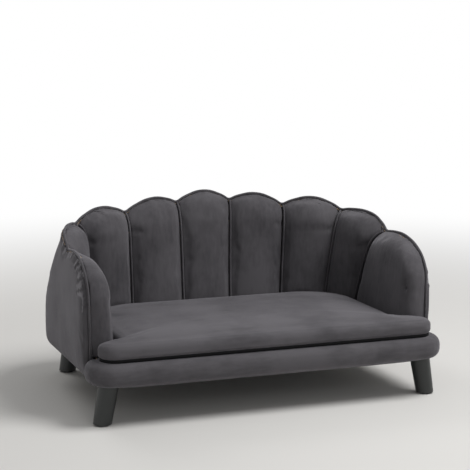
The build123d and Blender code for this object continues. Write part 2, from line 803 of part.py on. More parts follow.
# Piping down each groove between two petals
groove_depth = channel_piping_radius + 2.8 * soft_gap
bead_turns = (20, 40, 60, 82)
for i, notch in enumerate(notch_heights):
    for side in sides:
        bead_face = moved_face(seam_face, -groove_depth)
        foot = base_top + channel_piping_radius
        levels = [mix(foot, notch - edge_roll, share) for share in body_level_shares]
        points = [on_wall(bead_face, side, seam_place(i, z), z) for z in levels]
        for turn in bead_turns:
            z = notch - edge_roll + (edge_roll + groove_depth) * sin(radians(turn))
            back = on_wall(pad_face, side, seam_place(i, z), z)
            points.append(mix(back, on_wall(bead_face, side, seam_place(i, z), z), cos(radians(turn))))
        with BuildPart() as channel_piping:
            with BuildLine() as path:
                bead_path(points)
            with BuildSketch(Plane(origin=points[0], z_dir=points[1] - points[0])):
                Circle(channel_piping_radius)
            sweep()
        save(channel_piping.part, f"channel_piping_{side_names[side]}_{i + 1}")

# Rim piping: one bead over the whole scalloped rim and down both arm fronts
rim_lift = rim_piping_radius + 2 * soft_gap
rim_camber = rim_piping_radius
rim_face = moved_face(board_in, board_thickness / 2)
rim_step_shares = (0.12, 0.38, 0.62, 0.88, 1)
front_turns = (11.25, 33.75, 56.25, 78.75)


def rim_share(k, spot):
    """How far a point of the plan lies along the arch of petal k's rim."""
    middles, facing, across, ends = arch_frame(k, 1)
    depth = (spot - middles[0]).dot(facing) / (middles[1] - middles[0]).dot(facing)
    first, last = [mix(ends[0][i], ends[1][i], depth) for i in (0, 1)]
    return ((spot - mix(*middles, depth)).dot(across) - first) / (last - first)


def rim_point(k, share):
    """The bead's point over a share of petal k's arch. Its place round the wall is found by halving."""
    z = arch_height(k, share) + rim_lift + rim_camber * 4 * share * (1 - share)
    nearest, furthest = 0, 3
    for step in range(24):
        place = (nearest + furthest) / 2
        spot = on_wall(rim_face, 1, place, z)
        if rim_share(k, Vector(spot.X, spot.Y, 0)) < share:
            nearest = place
        else:
            furthest = place
    return spot


def rim_points():
    """The right half of the rim bead's path, from the middle of the back to the foot of the arm."""
    points = []
    for k in range(4):
        for u in rim_step_shares[2:] if k == 0 else rim_step_shares:
            points.append(rim_point(k, u))
    notch = points[-1]
    over = arm_top + rim_lift
    crest_y = mix(notch.Y, -arm_top_back, 0.7)
    points.append(Vector(arm_x(rim_face, over, crest_y), crest_y, mix(over, notch.Z, 0.06)))
    reach = cover_front - arm_top_back + rim_lift
    rise = over - arm_start
    swell = 1 / cos(radians(front_turns[0]))
    for turn in front_turns:
        angle = radians(turn)
        z = arm_start + rise * cos(angle) * swell
        y = -arm_top_back - reach * sin(angle) * swell
        points.append(Vector(arm_x(rim_face, z, y) + board_thickness * sin(angle), y, z))
    foot_x = arm_x(rim_face, base_bottom, -board_front) + board_thickness
    points.append(Vector(foot_x, -arm_top_back - reach, base_bottom + rim_piping_radius))
    return points


half_path = rim_points()
whole_path = [Vector(-point.X, point.Y, point.Z) for point in reversed(half_path)] + half_path
with BuildPart() as rim_piping:
    with BuildLine() as path:
        bead_path(whole_path)
    with BuildSketch(Plane(origin=whole_path[0], z_dir=whole_path[1] - whole_path[0])):
        Circle(rim_piping_radius)
    sweep()
save(rim_piping.part, "rim_piping")

# Bolts and washers that hold the shell board to the rails
with BuildPart() as shell_bolts:
    with Locations(*[axis.offset(board_thickness + washer_thickness) for axis in bolt_axes]):
        Cylinder(shell_head_radius, shell_head_height, align=low)
        Cylinder(shell_bolt_radius, board_thickness + washer_thickness + shell_bolt_grip, align=high)
save(shell_bolts.part, "shell_bolts")
with BuildPart() as shell_washers:
    with Locations(*[axis.offset(board_thickness) for axis in bolt_axes]):
        Cylinder(washer_radius, washer_thickness, align=low)
        Cylinder(shell_bolt_radius + bore_gap, washer_thickness, align=low, mode=Mode.SUBTRACT)
save(shell_washers.part, "shell_washers")


def cushion_lines(inset, share):
    """Draws the seat cushion's T-shaped outline, drawn in by an inset and then to a share of its size."""
    middle = (cushion_back - cushion_front) / 2
    lobe_x = cushion_lobe_half_width - cushion_lobe_radius
    corners = (
        (cushion_lobe_half_width - cushion_front_radius, cushion_front_radius - cushion_front, -90),
        (lobe_x, -cushion_lobe_back - cushion_lobe_radius, 0),
        (cushion_half_width + cushion_neck_radius, cushion_neck_radius - cushion_lobe_back, 180),
        (cushion_half_width - cushion_back_radius, cushion_back - cushion_back_radius, 0),
    )
    radii = (
        cushion_front_radius - inset,
        cushion_lobe_radius - inset,
        cushion_neck_radius + inset,
        cushion_back_radius - inset,
    )
    for side in sides:
        ends = []
        for (x, y, start), radius in zip(corners, radii):
            row = []
            for turn in (0, 45, 90):
                angle = radians(start + turn)
                spot = Vector(x + radius * cos(angle), y + radius * sin(angle))
                row.append((side * spot.X * share, middle + (spot.Y - middle) * share))
            ThreePointArc(*row)
            ends.extend(row[::-2] if start == 180 else row[::2])
        for before, after in zip(ends[1:-1:2], ends[2::2]):
            Line(before, after)
        if side < 0:
            tips = ends[0], ends[-1]
    Line(tips[0], ends[0])
    Line(tips[1], ends[-1])


def cushion_form(skin, top_skin):
    """The crowned form of the seat cushion, drawn in by a skin all round and by another on top."""
    rows = list(zip(cushion_level_shares, cushion_tuck_shares, cushion_size_shares))
    height = cushion_height - cushion_band_height - flat_gap - top_skin
    with BuildPart() as form:
        for level, tuck, size in rows:
            with BuildSketch(Plane.XY.offset(cover_bottom + height * level)):
                with BuildLine():
                    cushion_lines(cushion_tuck * tuck + skin, size)
                make_face()
        loft(ruled=True)
    return form.part


# Seat cushion: black non-slip base, foam core and crowned velvet cover with a zip
band_bottom = base_top + flat_gap
cover_bottom = band_bottom + cushion_band_height + flat_gap
zip_z = cover_bottom + cushion_height * zip_level_share
with BuildPart() as cushion_base:
    with BuildSketch(Plane.XY.offset(band_bottom)):
        with BuildLine():
            cushion_lines(cushion_band_inset, 1)
        make_face()
    extrude(amount=cushion_band_height)
save(cushion_base.part, "cushion_base")

cushion_outside = cushion_form(0, 0)
cushion_inside = cushion_form(cushion_skin, cushion_skin)
with BuildPart() as cushion_cover:
    add(cushion_outside)
    add(cushion_inside, mode=Mode.SUBTRACT)
    with Locations((0, cushion_back, zip_z)):
        Box(zip_length + 2 * flat_gap, 3 * cushion_skin, zip_height + 2 * flat_gap, mode=Mode.SUBTRACT)
save(cushion_cover.part, "cushion_cover")

foam_form = cushion_form(cushion_skin + 2 * soft_gap, cushion_skin)
with BuildPart() as cushion_foam:
    add(foam_form)
save(cushion_foam.part, "cushion_foam")

# Zip tape in its slot, the slider on it and the slider's pull
tape_back = cushion_back - cushion_skin + zip_thickness
with BuildPart() as cushion_zip:
    with Locations((0, tape_back - zip_thickness / 2, zip_z)):
        Box(zip_length, zip_thickness, zip_height)
save(cushion_zip.part, "cushion_zip")

slider_x = -zip_length / 2 + slider_length
slider_y = tape_back + flat_gap + slider_thickness
slider_face = Plane(origin=(slider_x, slider_y, zip_z), x_dir=(1, 0, 0), z_dir=(0, 1, 0))
with BuildPart() as zip_slider:
    with Locations(slider_face.offset(-slider_thickness / 2)):
        Box(slider_length, slider_height, slider_thickness)
    fillet(zip_slider.edges().filter_by(Axis.Y), slider_height / 4)
    with Locations(slider_face):
        Cylinder(pull_pin_radius, pull_thickness + 2 * flat_gap, align=low)
    with Locations(slider_face.offset(pull_thickness + 2 * flat_gap)):
        Cylinder(pull_head_radius, pull_thickness / 2, align=low)
save(zip_slider.part, "zip_slider")
with BuildPart() as zip_pull:
    with Locations(slider_face.offset(flat_gap)):
        Cylinder(pull_height / 2, pull_thickness, align=low)
    with Locations((slider_x + pull_length / 2, slider_y + flat_gap + pull_thickness / 2, zip_z)):
        Box(pull_length, pull_thickness, pull_height)
    fillet(zip_pull.edges().filter_by(Axis.Y).group_by(Axis.X)[-1], pull_height / 3)
    with Locations(slider_face.offset(flat_gap)):
        Cylinder(pull_pin_radius + bore_gap, pull_thickness, align=low, mode=Mode.SUBTRACT)
save(zip_pull.part, "zip_pull")
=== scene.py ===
import json
from math import exp

import bmesh
import bpy
import numpy as np
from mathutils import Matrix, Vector
from mathutils.bvhtree import BVHTree
from mathutils.kdtree import KDTree


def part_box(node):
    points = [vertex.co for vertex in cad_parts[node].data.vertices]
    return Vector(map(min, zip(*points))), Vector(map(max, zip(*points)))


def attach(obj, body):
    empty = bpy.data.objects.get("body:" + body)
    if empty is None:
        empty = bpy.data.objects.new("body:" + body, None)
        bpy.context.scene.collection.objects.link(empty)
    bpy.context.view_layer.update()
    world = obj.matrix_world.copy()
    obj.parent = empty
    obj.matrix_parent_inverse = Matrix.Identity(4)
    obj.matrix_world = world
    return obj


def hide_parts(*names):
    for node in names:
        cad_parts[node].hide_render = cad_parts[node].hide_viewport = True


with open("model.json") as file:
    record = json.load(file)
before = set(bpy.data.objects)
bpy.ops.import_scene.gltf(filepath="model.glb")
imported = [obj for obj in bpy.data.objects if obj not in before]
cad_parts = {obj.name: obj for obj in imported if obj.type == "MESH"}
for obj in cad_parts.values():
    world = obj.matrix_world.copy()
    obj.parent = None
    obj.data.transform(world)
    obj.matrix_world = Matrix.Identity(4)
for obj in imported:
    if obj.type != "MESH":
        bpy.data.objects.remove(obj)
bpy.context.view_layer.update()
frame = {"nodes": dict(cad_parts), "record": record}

# The studio: a plain pale floor that turns white far off, a white background, a large soft lamp
# overhead with weaker ones at the front and rear, and the camera where the photograph was taken from.
camera_spot = Vector((-1.3515, -3.6709, 1.0187))
camera_aim = Vector((-0.0935, -0.276, 0.4458))
sensor_width = 36
lens_length = 114.7
floor_size = 40
floor_colour = (0.66, 0.65, 0.63)
floor_fade = (0.9, 3.4)
sky_strength = 0.34
white = (1, 1, 1)
lamps = (
    ("key_lamp", (1.5, -1.1, 3.2), 2.0, 100),
    ("front_lamp", (0.5, -3.8, 1.6), 2.0, 14),
    ("rear_lamp", (-1.0, 2.8, 2.4), 1.6, 26),
)
lamp_aim = Vector((0, 0, 0.25))


def put(tree, kind, **settings):
    """Adds a node. A setting named as a socket sets the socket, or links it to another node's output."""
    added = tree.nodes.new(kind)
    for name, value in settings.items():
        if hasattr(added, name):
            setattr(added, name, value)
            continue
        socket = added.inputs[int(name[1:])] if name[1:].isdigit() else added.inputs[name.replace("_", " ")]
        if isinstance(value, bpy.types.NodeSocket):
            tree.links.new(value, socket)
        else:
            socket.default_value = value
    return added


def seen_by_camera(tree):
    """One for rays from the camera, from gloss and through glass, and zero for the light itself."""
    path = put(tree, "ShaderNodeLightPath").outputs
    sum_one = put(tree, "ShaderNodeMath", operation="ADD", i0=path["Is Camera Ray"], i1=path["Is Glossy Ray"])
    both = put(tree, "ShaderNodeMath", operation="ADD", i0=sum_one.outputs[0], i1=path["Is Transmission Ray"])
    both.use_clamp = True
    return both.outputs[0]


scene = bpy.context.scene
scene.view_settings.view_transform = "Standard"
camera_data = bpy.data.cameras.new("camera")
camera_data.sensor_width = sensor_width
camera_data.lens = lens_length
camera = bpy.data.objects.new("camera", camera_data)
camera.location = camera_spot
camera.rotation_euler = (camera_aim - camera_spot).to_track_quat("-Z", "Y").to_euler()
scene.collection.objects.link(camera)
scene.camera = camera

for lamp_name, spot, size, power in lamps:
    lamp_data = bpy.data.lights.new(lamp_name, "AREA")
    lamp_data.shape = "DISK"
    lamp_data.size = size
    lamp_data.energy = power
    lamp = bpy.data.objects.new(lamp_name, lamp_data)
    lamp.location = spot
    lamp.rotation_euler = (lamp_aim - Vector(spot)).to_track_quat("-Z", "Y").to_euler()
    scene.collection.objects.link(lamp)

world = bpy.data.worlds.new("world")
world.use_nodes = True
scene.world = world
sky_tree = world.node_tree
sky_tree.nodes.clear()
sky_light = put(sky_tree, "ShaderNodeBackground", Color=(*white, 1), Strength=sky_strength)
sky_seen = put(sky_tree, "ShaderNodeBackground", Color=(*white, 1), Strength=1)
sky_mix = put(
    sky_tree, "ShaderNodeMixShader", i0=seen_by_camera(sky_tree),
    i1=sky_light.outputs[0], i2=sky_seen.outputs[0],
)
put(sky_tree, "ShaderNodeOutputWorld", Surface=sky_mix.outputs[0])

bpy.ops.object.select_all(action="DESELECT")
bpy.ops.mesh.primitive_plane_add(size=floor_size)
floor = bpy.context.object
floor.name = "floor"
floor_material = bpy.data.materials.new("floor")
floor_material.use_nodes = True
floor_tree = floor_material.node_tree
floor_tree.nodes.clear()
floor_place = put(floor_tree, "ShaderNodeTexCoord").outputs["Object"]
floor_reach = put(floor_tree, "ShaderNodeVectorMath", operation="LENGTH", i0=floor_place)
floor_far = put(
    floor_tree, "ShaderNodeMapRange", interpolation_type="SMOOTHSTEP", i0=floor_reach.outputs["Value"],
    i1=floor_fade[0], i2=floor_fade[1],
)
floor_white = put(
    floor_tree, "ShaderNodeMath", operation="MULTIPLY", i0=floor_far.outputs[0], i1=seen_by_camera(floor_tree)
)
floor_shader = put(floor_tree, "ShaderNodeBsdfDiffuse", Color=(*floor_colour, 1))
floor_glow = put(floor_tree, "ShaderNodeEmission", Color=(*white, 1), Strength=1)
floor_mix = put(
    floor_tree, "ShaderNodeMixShader", i0=floor_white.outputs[0],
    i1=floor_shader.outputs[0], i2=floor_glow.outputs[0],
)
put(floor_tree, "ShaderNodeOutputMaterial", Surface=floor_mix.outputs[0])
floor.data.materials.append(floor_material)

# Timber frame: front, rear and side rails, corner blocks and cross slats, sawn from pale softwood,
# glued and butted together. Its grain runs along each piece, with darker late wood and a few specks.
timber_light = (0.56, 0.37, 0.19)
timber_dark = (0.36, 0.20, 0.085)
grain_spacing = 140
grain_length = 4
board_share = 0.6
grain_range = (0.55, 0.95)
grain_bump = (0.0004, 0.5)
timber_rough = 0.72


def new_material(name):
    """A node material with its tree, its shader and the place on the piece in metres."""
    material = bpy.data.materials.new(name)
    material.use_nodes = True
    tree = material.node_tree
    return material, tree, tree.nodes["Principled BSDF"], put(tree, "ShaderNodeTexCoord").outputs["Object"]


def pattern(tree, place, scale, detail=2, stretch=(1, 1, 1), rough=0.5):
    """Noise from 0 to 1, with a number of spots per metre along each axis."""
    spread = put(tree, "ShaderNodeMapping", Vector=place, Scale=stretch)
    return put(
        tree, "ShaderNodeTexNoise", Vector=spread.outputs[0], Scale=scale, Detail=detail, Roughness=rough
    ).outputs["Fac"]


def tones(tree, share, colours, ends=(0.3, 0.7)):
    """Colours spread over a range of a pattern."""
    ramp = put(tree, "ShaderNodeValToRGB", Fac=share)
    points = ramp.color_ramp.elements
    while len(points) < len(colours):
        points.new(0.5)
    for i, colour in enumerate(colours):
        points[i].position = ends[0] + (ends[1] - ends[0]) * i / (len(colours) - 1)
        points[i].color = (*colour, 1)
    return ramp.outputs[0]


def raise_by(tree, height, depth, strength, under=None):
    """A bump of some depth in metres, over another bump if one is given."""
    bump = put(tree, "ShaderNodeBump", Height=height, Distance=depth, Strength=strength)
    if under is not None:
        tree.links.new(under, bump.inputs["Normal"])
    return bump.outputs[0]


def finish_cad(material, *nodes):
    """Gives CAD nodes their finish."""
    for name in nodes:
        slots = frame["nodes"][name].data.materials
        slots.clear()
        slots.append(material)


def timber(name, along):
    """Sawn softwood with its grain along one axis, given as 0, 1 or 2."""
    material, tree, shader, place = new_material(name)
    stretch = [1, 1, 1]
    stretch[along] = grain_length / grain_spacing
    grain = pattern(tree, place, grain_spacing, 3, stretch)
    board = pattern(tree, place, grain_spacing / 12, 2, stretch)
    both = put(tree, "ShaderNodeMath", operation="MULTIPLY_ADD", i0=board, i1=board_share, i2=grain)
    colour = tones(tree, both.outputs[0], (timber_dark, timber_light, timber_light), grain_range)
    tree.links.new(colour, shader.inputs["Base Color"])
    tree.links.new(raise_by(tree, grain, *grain_bump), shader.inputs["Normal"])
    shader.inputs["Roughness"].default_value = timber_rough
    return material


finish_cad(
    timber("timber_across", 0),
    "front_rail", "rear_rail", "corner_block_front_left", "corner_block_front_right",
    "corner_block_rear_left", "corner_block_rear_right",
)
finish_cad(timber("timber_lengthwise", 1), "side_rail_left", "side_rail_right", "cross_slats")

# Legs: turned from hardwood, splayed, primed and sprayed satin black. The paint shows the grain
# faintly and is rubbed at the foot. A hanger bolt in each screws into a nut in its corner block.
leg_paint = (0.016, 0.018, 0.0175)
leg_rubbed = (0.038, 0.038, 0.036)
rub_height = 0.02
rub_share = 0.5
leg_grain_spacing = 160
leg_grain_stretch = (1, 1, 0.06)
leg_grain_bump = (0.0002, 0.35)
leg_cloud_spacing = 34
leg_cloud_range = (0.3, 0.7)
leg_rough = (0.36, 0.46)
leg_names = ("leg_front_left", "leg_front_right", "leg_rear_left", "leg_rear_right")

leg_black, tree, shader, place = new_material("leg_black")
leg_grain = pattern(tree, place, leg_grain_spacing, 3, leg_grain_stretch)
leg_cloud = pattern(tree, place, leg_cloud_spacing)
height = put(tree, "ShaderNodeSeparateXYZ", Vector=place).outputs["Z"]
scuff = put(tree, "ShaderNodeMapRange", i0=height, i1=rub_height, i2=0, i3=0, i4=rub_share).outputs[0]
rubbed = put(tree, "ShaderNodeMath", operation="MULTIPLY", i0=scuff, i1=leg_cloud).outputs[0]
worn = put(tree, "ShaderNodeMix", data_type="RGBA", i0=rubbed)
worn.inputs[6].default_value = (*leg_paint, 1)
worn.inputs[7].default_value = (*leg_rubbed, 1)
tree.links.new(worn.outputs[2], shader.inputs["Base Color"])
gloss = put(
    tree, "ShaderNodeMapRange", i0=leg_cloud, i1=leg_cloud_range[0], i2=leg_cloud_range[1],
    i3=leg_rough[0], i4=leg_rough[1],
)
tree.links.new(gloss.outputs[0], shader.inputs["Roughness"])
tree.links.new(raise_by(tree, leg_grain, *leg_grain_bump), shader.inputs["Normal"])
finish_cad(leg_black, *leg_names)

# Fixings: zinc-plated hanger bolts, leg nuts, deck screws, shell bolts and washers, with the soft
# mottling of bright plating. The glides under the feet are moulded from grey nylon.
zinc = (0.62, 0.63, 0.64)
zinc_shade = 0.8
spangle_spacing = 420
zinc_rough = (0.26, 0.42)
nylon = (0.055, 0.055, 0.058)
nylon_shade = 0.8
nylon_grain_spacing = 900
nylon_bump = (0.0001, 0.4)
nylon_rough = 0.55


def shades(colour, share):
    """A colour's darker or paler shade, and the colour itself."""
    return tuple(share * c for c in colour), colour


zinc_steel, tree, shader, place = new_material("zinc_steel")
spangle = put(tree, "ShaderNodeTexVoronoi", Vector=place, Scale=spangle_spacing).outputs["Color"]
value = put(tree, "ShaderNodeSeparateColor", Color=spangle).outputs[0]
tree.links.new(tones(tree, value, shades(zinc, zinc_shade), (0, 1)), shader.inputs["Base Color"])
polish = put(tree, "ShaderNodeMapRange", i0=value, i3=zinc_rough[0], i4=zinc_rough[1]).outputs[0]
tree.links.new(polish, shader.inputs["Roughness"])
shader.inputs["Metallic"].default_value = 1
finish_cad(zinc_steel, "hanger_bolts", "leg_nuts", "deck_screws", "shell_bolts", "shell_washers")

glide_nylon, tree, shader, place = new_material("glide_nylon")
skin = pattern(tree, place, nylon_grain_spacing, 3)
tree.links.new(tones(tree, skin, shades(nylon, nylon_shade)), shader.inputs["Base Color"])
tree.links.new(raise_by(tree, skin, *nylon_bump), shader.inputs["Normal"])
shader.inputs["Roughness"].default_value = nylon_rough
finish_cad(glide_nylon, "leg_glides")

# Deck and shell board: a flat and a bent plywood sheet with pale face veneer. The deck is screwed to
# the frame and the board is bolted round it, from the floor of the seat to the scalloped rim.
veneer_light = (0.60, 0.44, 0.27)
veneer_dark = (0.44, 0.29, 0.16)
figure_spacing = 22
pore_spacing = 420
pore_share = 0.35
pore_bump = (0.0002, 0.4)
veneer_range = (0.5, 0.85)
veneer_rough = 0.6
veneer_stretch = 0.12


def veneer(name, stretch):
    """Rotary-cut face veneer: long wavy figure with short pores."""
    material, tree, shader, place = new_material(name)
    figure = pattern(tree, place, figure_spacing, 4, stretch)
    pores = pattern(tree, place, pore_spacing, 2, stretch)
    both = put(tree, "ShaderNodeMath", operation="MULTIPLY_ADD", i0=pores, i1=pore_share, i2=figure)
    colour = tones(tree, both.outputs[0], (veneer_dark, veneer_light), veneer_range)
    tree.links.new(colour, shader.inputs["Base Color"])
    tree.links.new(raise_by(tree, pores, *pore_bump), shader.inputs["Normal"])
    shader.inputs["Roughness"].default_value = veneer_rough
    return material


finish_cad(veneer("panel", (veneer_stretch, 1, 1)), "deck")
finish_cad(veneer("bent_board", (1, 1, veneer_stretch)), "shell_board")

# Dust cover: black spun-bonded lining with dimpled bonding points. It is drawn flat under the frame
# and stapled to it, and closes the base from below.
lining_black = (0.012, 0.012, 0.013)
lining_shade = 2.4
bond_spacing = 700
bond_bump = (0.0002, 0.6)
thread_spacing = 1500
lining_rough = 0.9

black_lining, tree, shader, place = new_material("black_lining")
bonds = put(tree, "ShaderNodeTexVoronoi", Vector=place, Scale=bond_spacing, Randomness=0.25)
threads = pattern(tree, place, thread_spacing, 3)
tree.links.new(tones(tree, threads, shades(lining_black, lining_shade)[::-1]), shader.inputs["Base Color"])
tree.links.new(raise_by(tree, bonds.outputs["Distance"], *bond_bump), shader.inputs["Normal"])
shader.inputs["Roughness"].default_value = lining_rough
finish_cad(black_lining, "dust_cover")

# Base cover: charcoal velvet over the deck and over a padded nose in front of the arms. The nose is
# foam on the front rail, the velvet is pulled over it and stapled underneath, with a soft round edge.
velvet_dark = (0.045, 0.0425, 0.047)
velvet_light = (0.094, 0.0895, 0.097)
velvet_sheen = 0.30
sheen_tint = (0.80, 0.78, 0.84)
sheen_rough = 0.38
velvet_gloss = 0.2
cloud_spacing = 7
mark_spacing, mark_share, mark_bump = 30, 0.3, (0.0012, 0.3)
streak_spacing, streak_share = 120, 0.2
pile_spacing, pile_share, pile_bump = 1300, 0.3, (0.0004, 0.55)
nap_range = (0.6, 1.2)
velvet_rough = (0.98, 0.86)
lay_stretch = 0.25
nose_voxel = 0.006
nose_rounds = 4
nose_rise = 0.004
nose_pressure = 4
merge_distance = 0.00002
touch_gap = 0.0004
frame_gap = 0.0003
filler_lap = 0.001
overshoot = 0.05
puff_rounds = 3
cloth_steps = 20
cloth_settings = {
    "quality": 3, "mass": 0.25, "tension_stiffness": 18, "compression_stiffness": 18,
    "shear_stiffness": 6, "bending_stiffness": 0.6,
}


def velvet(name, lay=(1, 1, 1)):
    """Short-pile velvet: cloudy nap, brushed streaks along its lay, fine pile and a soft sheen."""
    material, tree, shader, place = new_material(name)
    nap = pattern(tree, place, cloud_spacing, 4, rough=0.55)
    marks = pattern(tree, place, mark_spacing, 3, lay, 0.6)
    streaks = pattern(tree, place, streak_spacing, 2, lay)
    pile = pattern(tree, place, pile_spacing)
    for layer, share in ((marks, mark_share), (streaks, streak_share), (pile, pile_share)):
        nap = put(tree, "ShaderNodeMath", operation="MULTIPLY_ADD", i0=layer, i1=share, i2=nap).outputs[0]
    tree.links.new(tones(tree, nap, (velvet_dark, velvet_light), nap_range), shader.inputs["Base Color"])
    low, high = nap_range
    rough_low, rough_high = velvet_rough
    rough = put(tree, "ShaderNodeMapRange", i0=nap, i1=low, i2=high, i3=rough_low, i4=rough_high)
    tree.links.new(rough.outputs[0], shader.inputs["Roughness"])
    cloth = raise_by(tree, marks, *mark_bump)
    tree.links.new(raise_by(tree, pile, *pile_bump, cloth), shader.inputs["Normal"])
    shader.inputs["Specular IOR Level"].default_value = velvet_gloss
    shader.inputs["Sheen Weight"].default_value = velvet_sheen
    shader.inputs["Sheen Roughness"].default_value = sheen_rough
    shader.inputs["Sheen Tint"].default_value = (*sheen_tint, 1)
    return material


def select_only(piece):
    """Selects one piece and makes it the active one."""
    bpy.ops.object.select_all(action="DESELECT")
    piece.select_set(True)
    bpy.context.view_layer.objects.active = piece


def apply_all(piece):
    """Applies the modifiers of a piece in their order."""
    select_only(piece)
    for modifier in list(piece.modifiers):
        bpy.ops.object.modifier_apply(modifier=modifier.name)


def form_of(node, name):
    """A merged copy of a CAD solid, as the start of a soft piece."""
    piece = bpy.data.objects.new(name, frame["nodes"][node].data.copy())
    scene.collection.objects.link(piece)
    piece.data.materials.clear()
    select_only(piece)
    bpy.ops.object.mode_set(mode="EDIT")
    bpy.ops.mesh.select_all(action="SELECT")
    bpy.ops.mesh.remove_doubles(threshold=merge_distance)
    bpy.ops.object.mode_set(mode="OBJECT")
    return piece


def combine(piece, other, operation):
    """Joins another solid to a piece, or cuts it out, and removes it."""
    boolean = piece.modifiers.new("combine", "BOOLEAN")
    boolean.operation = operation
    boolean.object = other
    boolean.solver = "EXACT"
    apply_all(piece)
    bpy.data.objects.remove(other)


def block(low, high, name="block"):
    """A plain block between two corners, to fill or cut with."""
    bpy.ops.object.select_all(action="DESELECT")
    low, high = Vector(low), Vector(high)
    bpy.ops.mesh.primitive_cube_add(size=1, location=(low + high) / 2, scale=high - low)
    bpy.ops.object.transform_apply()
    made = bpy.context.object
    made.name = name
    return made


def smooth(piece, rounds):
    """Smooths a piece's surface."""
    smoothing = piece.modifiers.new("smoothing", "SMOOTH")
    smoothing.iterations = rounds
    apply_all(piece)


def even(piece, voxel, rounds):
    """Divides a piece into even faces and smooths them."""
    select_only(piece)
    piece.data.remesh_voxel_size = voxel
    bpy.ops.object.voxel_remesh()
    smooth(piece, rounds)


def points_of(piece):
    """The places of a piece's vertices, one row each."""
    places = np.empty(len(piece.data.vertices) * 3)
    piece.data.vertices.foreach_get("co", places)
    return places.reshape(-1, 3)


def normals_of(piece):
    """The directions that a piece's vertices face, one row each."""
    normals = np.empty(len(piece.data.vertices) * 3)
    piece.data.vertices.foreach_get("normal", normals)
    return normals.reshape(-1, 3)


def set_points(piece, places):
    """Moves a piece's vertices."""
    piece.data.vertices.foreach_set("co", np.ascontiguousarray(places, dtype=np.float32).ravel())
    piece.data.update()


trees = {}


def tree_of(node):
    """A search tree of a CAD solid's surface."""
    if node not in trees:
        mesh = frame["nodes"][node].data
        trees[node] = BVHTree.FromPolygons([v.co for v in mesh.vertices], [p.vertices for p in mesh.polygons])
    return trees[node]


def room(places, neighbours, reach):
    """How far each place is from the nearest of its neighbours, up to a reach."""
    gaps = np.full(len(places), reach)
    for node in neighbours:
        low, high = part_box(node)
        outside = np.maximum(np.array(low) - places, places - np.array(high)).max(axis=1)
        for i in np.nonzero(outside < gaps)[0]:
            distance = tree_of(node).find_nearest(Vector(places[i]), gaps[i])[3]
            if distance is not None:
                gaps[i] = min(gaps[i], distance)
    return gaps


def puff(piece, pressure, cap, neighbours):
    """Swells a piece with a cloth simulation. Each point moves outwards or along the surface, by no more
    than a cap, or than half the room to the nearest neighbour."""
    before, normals = points_of(piece), normals_of(piece)
    limit = np.clip((room(before, neighbours, 2 * cap + touch_gap) - touch_gap) / 2, 0, cap)
    cloth = piece.modifiers.new("cloth", "CLOTH")
    for setting, value in cloth_settings.items():
        setattr(cloth.settings, setting, value)
    cloth.settings.use_pressure = True
    cloth.settings.uniform_pressure_force = pressure
    cloth.settings.effector_weights.gravity = 0
    cloth.collision_settings.use_collision = False
    cloth.point_cache.frame_end = cloth_steps
    for step in range(1, cloth_steps + 1):
        scene.frame_set(step)
    apply_all(piece)
    scene.frame_set(1)
    moved = points_of(piece) - before
    moved -= np.minimum(0, (moved * normals).sum(axis=1))[:, None] * normals
    length = np.linalg.norm(moved, axis=1)
    share = np.minimum(1, limit / np.maximum(length, 1e-9))
    set_points(piece, before + moved * share[:, None])
    smooth(piece, puff_rounds)


def dress(piece, material, slot, *nodes, fill=None):
    """Gives a finished soft piece its material, smooth faces and its place in the assembly."""
    piece.data.materials.clear()
    piece.data.materials.append(material)
    select_only(piece)
    bpy.ops.object.shade_smooth()
    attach(piece, body_of[nodes[0]])
    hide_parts(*nodes)


body_of = {node: body for body, nodes in frame["record"]["behaviour"]["bodies"].items() for node in nodes}
velvet_upright = velvet("velvet_upright", (1, 1, lay_stretch))
velvet_flat = velvet("velvet_flat", (lay_stretch, 1, 1))
nose_low, nose_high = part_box("base_cover")
frame_low, frame_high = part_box("deck")
nose_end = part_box("outer_cover")[0].y
base_velvet = form_of("base_cover", "base_velvet")
filler_high = (frame_high.x, nose_end, frame_high.z + filler_lap)
combine(base_velvet, block((frame_low.x, frame_low.y, nose_low.z), filler_high), "UNION")
combine(base_velvet, form_of("deck", "filler"), "UNION")
even(base_velvet, nose_voxel, nose_rounds)
base_neighbours = ["cushion_base", "outer_cover", "petal_arm_left", "petal_arm_right", "leg_front_left"]
puff(base_velvet, nose_pressure, nose_rise, base_neighbours)
room_low = (frame_low.x - frame_gap, frame_low.y - frame_gap, nose_low.z - overshoot)
room_high = (frame_high.x + frame_gap, frame_high.y + overshoot, frame_high.z + frame_gap)
combine(base_velvet, block(room_low, room_high), "DIFFERENCE")
behind_low = (nose_low.x - overshoot, nose_end, nose_low.z - overshoot)
behind_high = (nose_high.x + overshoot, frame_high.y + overshoot, frame_high.z + frame_gap)
combine(base_velvet, block(behind_low, behind_high), "DIFFERENCE")
dress(base_velvet, velvet_flat, "velvet", "base_cover", fill=0.7)

# Shell lining: a sheet of pale, open-celled foam between the shell board and the petals. It is bent
# round the inside of the board and glued to it.
foam_colour = (0.62, 0.56, 0.40)
foam_shade = 0.86
cell_spacing = 650
cell_bump = (0.0012, 0.6)
foam_blotch_spacing = 18
foam_rough = 0.95

foam, tree, shader, place = new_material("foam")
cells = put(tree, "ShaderNodeTexVoronoi", Vector=place, Scale=cell_spacing).outputs["Distance"]
blotches = pattern(tree, place, foam_blotch_spacing, 3)
tree.links.new(tones(tree, blotches, shades(foam_colour, foam_shade)), shader.inputs["Base Color"])
tree.links.new(raise_by(tree, cells, *cell_bump), shader.inputs["Normal"])
shader.inputs["Roughness"].default_value = foam_rough
lining_foam = form_of("shell_lining", "lining_foam")
dress(lining_foam, foam, "foam", "shell_lining", fill=0.9)

